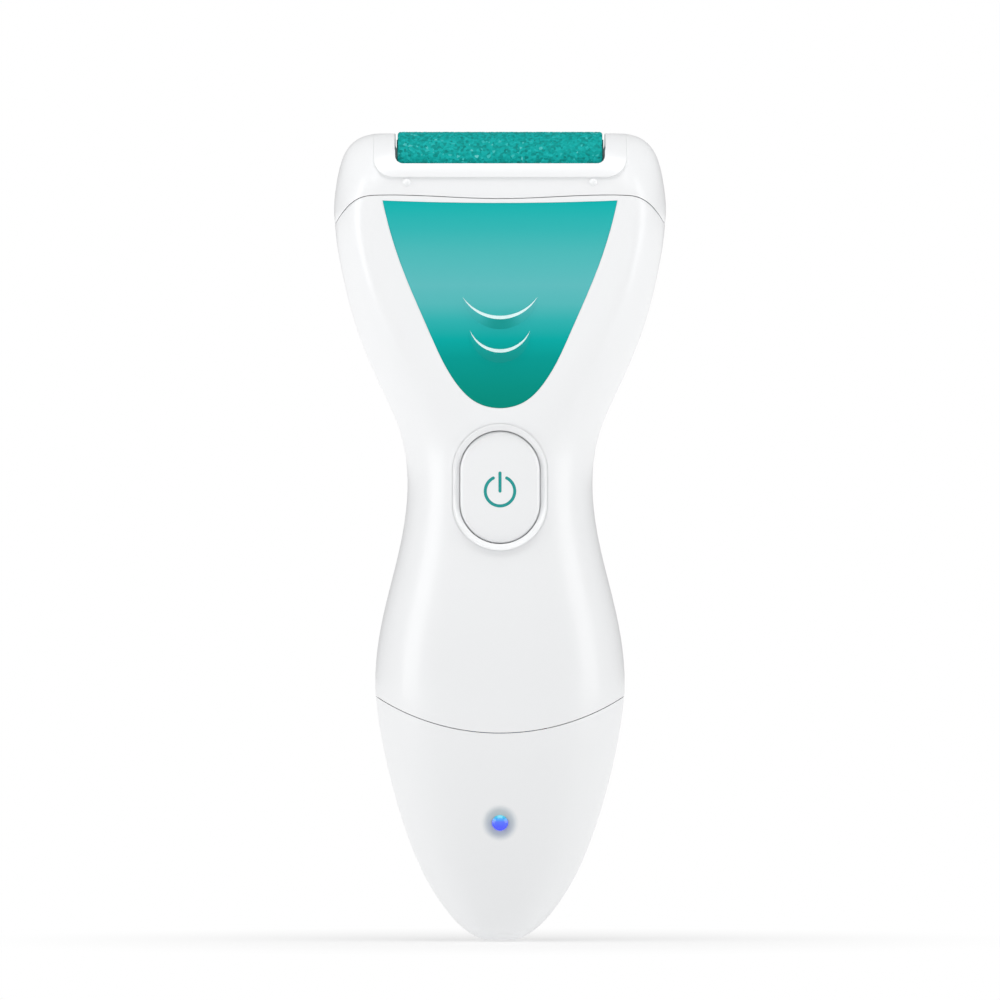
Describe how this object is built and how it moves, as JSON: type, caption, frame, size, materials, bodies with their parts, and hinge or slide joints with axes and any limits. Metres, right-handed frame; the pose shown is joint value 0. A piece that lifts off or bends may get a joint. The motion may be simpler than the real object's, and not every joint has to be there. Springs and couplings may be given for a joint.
{
  "type": "electric callus remover",
  "caption": "Upright cordless foot file: a hand-held body that narrows at its power button and widens into a head with a gritty abrasive roller.",
  "frame": {"origin": "middle of the bounding box at the level of the rounded bottom end", "axes": "+Z along the handle from the charging end to the roller, -Y out of the front with the power button, +X to the right seen from the front, along the roller's axis"},
  "size_m": [0.0678, 0.039, 0.165],
  "materials": {
    "front_shell": "gloss",
    "rear_shell": "gloss",
    "bottom_cap": "gloss",
    "front_panel": "satin",
    "button_bezel": "gloss",
    "circuit_board": "matte",
    "board_chips": "matte",
    "board_screws": "brushed",
    "case_screws": "brushed",
    "tact_switch": "matte",
    "battery": "shrink wrap",
    "battery_tabs": "brushed",
    "battery_leads": "satin",
    "charge_board": "matte",
    "charging_socket": "brushed",
    "socket_contacts": "matte",
    "charge_leads": "satin",
    "charge_led": "clear",
    "led_lens": "frosted",
    "motor_can": "brushed",
    "motor_magnets": "matte",
    "motor_end_bell": "matte",
    "motor_terminals": "satin",
    "motor_leads": "satin",
    "motor_bracket": "matte",
    "gear_plate": "brushed",
    "gear_plate_screws": "brushed",
    "idler_axle": "brushed",
    "head_frame": "gloss",
    "roller_cradle": "satin",
    "drive_bush": "satin",
    "release_spring": "brushed",
    "roller_sleeve": "gritty",
    "roller_core": "matte",
    "drive_end_cap": "matte",
    "idle_end_cap": "matte",
    "drive_gear": "matte",
    "idler_gear": "matte",
    "motor_shaft": "brushed",
    "motor_pinion": "machined",
    "motor_armature": "matte",
    "power_button": "gloss",
    "power_icon": "matte",
    "switch_plunger": "matte",
    "release_slider": "gloss",
    "retaining_pin": "brushed"
  },
  "bodies": {
    "handle": {"front_shell": "front_shell", "rear_shell": "rear_shell", "bottom_cap": "bottom_cap", "front_panel": "front_panel", "button_bezel": "button_bezel", "circuit_board": "circuit_board", "board_chips": "board_chips", "board_screws": "board_screws", "case_screws": "case_screws", "tact_switch": "tact_switch", "battery": "battery", "battery_tabs": "battery_tabs", "battery_leads": "battery_leads", "charge_board": "charge_board", "charging_socket": "charging_socket", "socket_contacts": "socket_contacts", "charge_leads": "charge_leads", "charge_led": "charge_led", "led_lens": "led_lens", "motor_can": "motor_can", "motor_magnets": "motor_magnets", "motor_end_bell": "motor_end_bell", "motor_terminals": "motor_terminals", "motor_leads": "motor_leads", "motor_bracket": "motor_bracket", "gear_plate": "gear_plate", "gear_plate_screws": "gear_plate_screws", "idler_axle": "idler_axle"},
    "head": {"head_frame": "head_frame", "roller_cradle": "roller_cradle", "drive_bush": "drive_bush", "release_spring": "release_spring"},
    "roller": {"roller_sleeve": "roller_sleeve", "roller_core": "roller_core", "drive_end_cap": "drive_end_cap", "idle_end_cap": "idle_end_cap", "drive_gear": "drive_gear"},
    "idler": {"idler_gear": "idler_gear"},
    "rotor": {"motor_shaft": "motor_shaft", "motor_pinion": "motor_pinion", "motor_armature": "motor_armature"},
    "button": {"power_button": "power_button", "power_icon": "power_icon", "switch_plunger": "switch_plunger"},
    "release": {"release_slider": "release_slider", "retaining_pin": "retaining_pin"}
  },
  "joints": [
    {"name": "head_lift", "type": "slide", "parent": "handle", "child": "head", "axis": [0, 0, 1], "range_m": [0, 0.03]},
    {"name": "roller_spin", "type": "hinge", "parent": "head", "child": "roller", "pos_m": [0, -0.0015, 0.157], "axis": [1, 0, 0], "continuous": true},
    {"name": "idler_spin", "type": "hinge", "parent": "handle", "child": "idler", "pos_m": [0, 0.0005, 0.14869], "axis": [1, 0, 0], "continuous": true},
    {"name": "motor_spin", "type": "hinge", "parent": "handle", "child": "rotor", "pos_m": [0, 0.0025, 0.13884], "axis": [1, 0, 0], "continuous": true},
    {"name": "power_press", "type": "slide", "parent": "handle", "child": "button", "axis": [0, 1, 0], "range_m": [0, 0.0006], "stiffness_N_per_m": 1500, "springref_m": -0.001},
    {"name": "release_slide", "type": "slide", "parent": "head", "child": "release", "axis": [1, 0, 0], "range_m": [0, 0.002], "stiffness_N_per_m": 400, "springref_m": -0.002, "deforming": ["release_spring"]}
  ],
  "couplings": [
    {"joint": "idler_spin", "follows": "roller_spin", "ratio": -1.125},
    {"joint": "motor_spin", "follows": "roller_spin", "ratio": 3.375}
  ]
}
